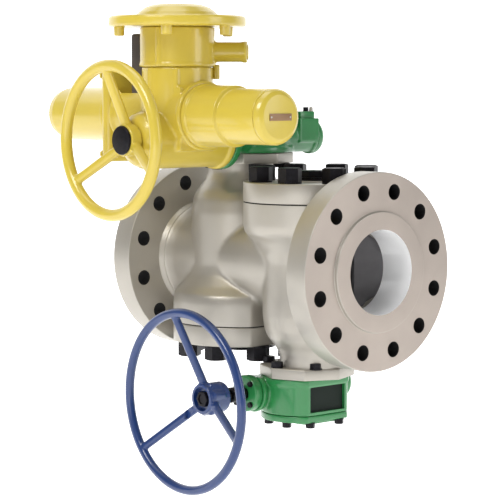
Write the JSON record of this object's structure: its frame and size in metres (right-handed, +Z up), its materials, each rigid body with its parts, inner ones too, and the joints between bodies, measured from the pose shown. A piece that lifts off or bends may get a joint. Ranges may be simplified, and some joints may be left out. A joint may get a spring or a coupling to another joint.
{
  "type": "plug valve",
  "caption": "Flanged twin plug valve with two worm gearboxes, a dished handwheel below and an electric actuator with its own handwheel above.",
  "frame": {"origin": "on the pipe's axis, midway between the two raised flange faces", "axes": "+X along the pipe towards the flange beside the lower gearbox, +Z up along the plug stems, both handwheels on the -Y side"},
  "size_m": [0.6875, 0.5466, 0.8754],
  "materials": {
    "cast_steel": "satin aluminium paint on cast steel",
    "machined_steel": "turned",
    "black_oxide": "black oxide",
    "green_paint": "gloss enamel",
    "blue_paint": "gloss enamel",
    "yellow_paint": "gloss enamel",
    "dark_plastic": "moulded",
    "brown_plastic": "moulded",
    "graphite": "matt",
    "bronze": "cut"
  },
  "bodies": {
    "valve": {"valve_body": "cast_steel", "left_cover": "cast_steel", "left_cover_gasket": "graphite", "left_plug_adjuster": "black_oxide", "left_stem_packing": "graphite", "left_cover_bolt_1": "black_oxide", "left_cover_bolt_2": "black_oxide", "left_cover_bolt_3": "black_oxide", "left_cover_bolt_4": "black_oxide", "left_cover_bolt_5": "black_oxide", "left_cover_bolt_6": "black_oxide", "left_cover_bolt_7": "black_oxide", "left_cover_bolt_8": "black_oxide", "upper_gearbox_housing": "green_paint", "upper_gearbox_cover": "green_paint", "upper_worm_end_cap": "green_paint", "right_cover": "cast_steel", "right_cover_gasket": "graphite", "right_plug_adjuster": "black_oxide", "right_stem_packing": "graphite", "right_cover_bolt_1": "black_oxide", "right_cover_bolt_2": "black_oxide", "right_cover_bolt_3": "black_oxide", "right_cover_bolt_4": "black_oxide", "right_cover_bolt_5": "black_oxide", "right_cover_bolt_6": "black_oxide", "right_cover_bolt_7": "black_oxide", "right_cover_bolt_8": "black_oxide", "lower_gearbox_housing": "green_paint", "lower_gearbox_cover": "green_paint", "lower_worm_end_cap": "green_paint", "upper_input_flange": "green_paint", "lower_input_cap": "green_paint", "actuator_gearcase": "yellow_paint", "motor_housing": "yellow_paint", "motor_end_cap": "yellow_paint", "nameplate": "brown_plastic", "drum_flange": "yellow_paint", "control_drum": "yellow_paint", "control_column": "yellow_paint", "column_lid": "yellow_paint", "control_panel": "dark_plastic", "conduit_plug": "dark_plastic"},
    "left_plug": {"left_plug": "machined_steel", "upper_worm_wheel": "bronze"},
    "right_plug": {"right_plug": "machined_steel", "lower_worm_wheel": "bronze"},
    "manual_drive": {"lower_worm_shaft": "machined_steel", "handwheel": "blue_paint", "handwheel_nut": "black_oxide", "shaft_collar": "black_oxide"},
    "powered_drive": {"upper_worm_shaft": "machined_steel", "drive_sleeve": "machined_steel", "actuator_worm_wheel": "bronze"},
    "motor_rotor": {"motor_rotor": "machined_steel"},
    "actuator_handwheel": {"actuator_handwheel": "yellow_paint", "hub_cap": "black_oxide"},
    "selector_knob": {"selector_knob": "brown_plastic"}
  },
  "joints": [
    {"name": "handwheel_turn", "type": "hinge", "parent": "valve", "child": "manual_drive", "pos_m": [0.04, 0, -0.233], "axis": [0, 1, 0], "range_deg": [0, 3600]},
    {"name": "right_plug_turn", "type": "hinge", "parent": "valve", "child": "right_plug", "pos_m": [0.103, 0, 0], "axis": [0, 0, -1], "range_deg": [0, 90]},
    {"name": "powered_drive_turn", "type": "hinge", "parent": "valve", "child": "powered_drive", "pos_m": [-0.04, 0, 0.233], "axis": [0, 1, 0], "range_deg": [0, 3600]},
    {"name": "left_plug_turn", "type": "hinge", "parent": "valve", "child": "left_plug", "pos_m": [-0.103, 0, 0], "axis": [0, 0, 1], "range_deg": [0, 90]},
    {"name": "actuator_handwheel_turn", "type": "hinge", "parent": "valve", "child": "actuator_handwheel", "pos_m": [-0.04, -0.32, 0.233], "axis": [0, 1, 0], "range_deg": [0, 3600]},
    {"name": "motor_turn", "type": "hinge", "parent": "valve", "child": "motor_rotor", "pos_m": [0, -0.205, 0.276], "axis": [-1, 0, 0], "range_deg": [0, 72000]},
    {"name": "selector_turn", "type": "hinge", "parent": "valve", "child": "selector_knob", "pos_m": [-0.4, -0.205, 0.276], "axis": [1, 0, 0], "range_deg": [-45, 45]}
  ],
  "couplings": [
    {"joint": "right_plug_turn", "follows": "handwheel_turn", "ratio": 0.025},
    {"joint": "left_plug_turn", "follows": "powered_drive_turn", "ratio": 0.025},
    {"joint": "actuator_handwheel_turn", "follows": "powered_drive_turn", "ratio": 1},
    {"joint": "motor_turn", "follows": "powered_drive_turn", "ratio": 20}
  ]
}
